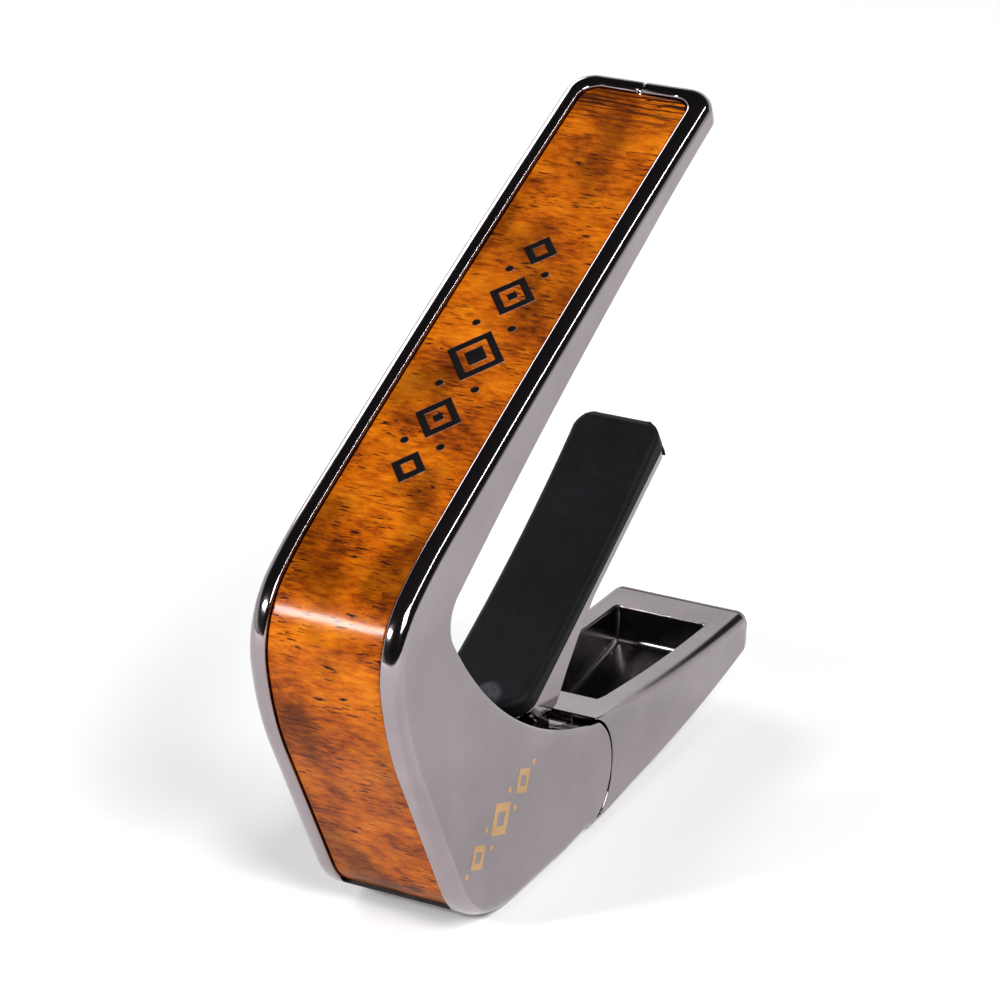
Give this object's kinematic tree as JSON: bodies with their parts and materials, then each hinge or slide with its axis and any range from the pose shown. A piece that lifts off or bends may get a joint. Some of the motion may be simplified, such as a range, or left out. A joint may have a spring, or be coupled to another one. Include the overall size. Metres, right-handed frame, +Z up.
{
  "type": "guitar capo",
  "caption": "Spring-closed guitar capo: a curved cast body with a wood inlay and a fret pad, and a one-piece pivoting lever with a neck pad and a hollow handle.",
  "frame": {"origin": "centre of the outline in plan, on the flat underside that the capo stands on", "axes": "+X from the elbow towards the end of the handle, +Y across the width, +Z up from the underside to the tip of the front arm"},
  "size_m": [0.0778, 0.016, 0.0704],
  "materials": {
    "cast_body": "polished black nickel plate on cast zinc",
    "cast_lever": "polished black nickel plate on cast zinc",
    "wood": "figured brown hardwood under clear gloss lacquer",
    "rubber": "matte moulded silicone rubber",
    "pad_carrier": "moulded nylon",
    "adhesive": "thin adhesive film",
    "steel": "ground steel",
    "spring_wire": "drawn spring wire, lightly oiled",
    "bushing": "turned bronze",
    "spool": "moulded acetal"
  },
  "bodies": {
    "body": {"main_body": "cast_body", "inlay_adhesive": "adhesive", "arm_inlay": "wood", "fret_pad_carrier": "pad_carrier", "fret_pad": "rubber", "pivot_pin": "steel", "pin_cap": "cast_body", "spring_spool": "spool", "torsion_spring": "spring_wire"},
    "lever": {"lever": "cast_lever", "neck_pad_adhesive": "adhesive", "neck_pad": "rubber", "bushing_left": "bushing", "bushing_right": "bushing"}
  },
  "joints": [
    {"name": "lever_pivot", "type": "hinge", "parent": "body", "child": "lever", "pos_m": [-0.0016, 0, 0.0064], "axis": [0, 1, 0], "range_deg": [0, 26], "stiffness_Nm_per_rad": 1, "springref_deg": -20.05, "deforming": ["torsion_spring"]}
  ]
}
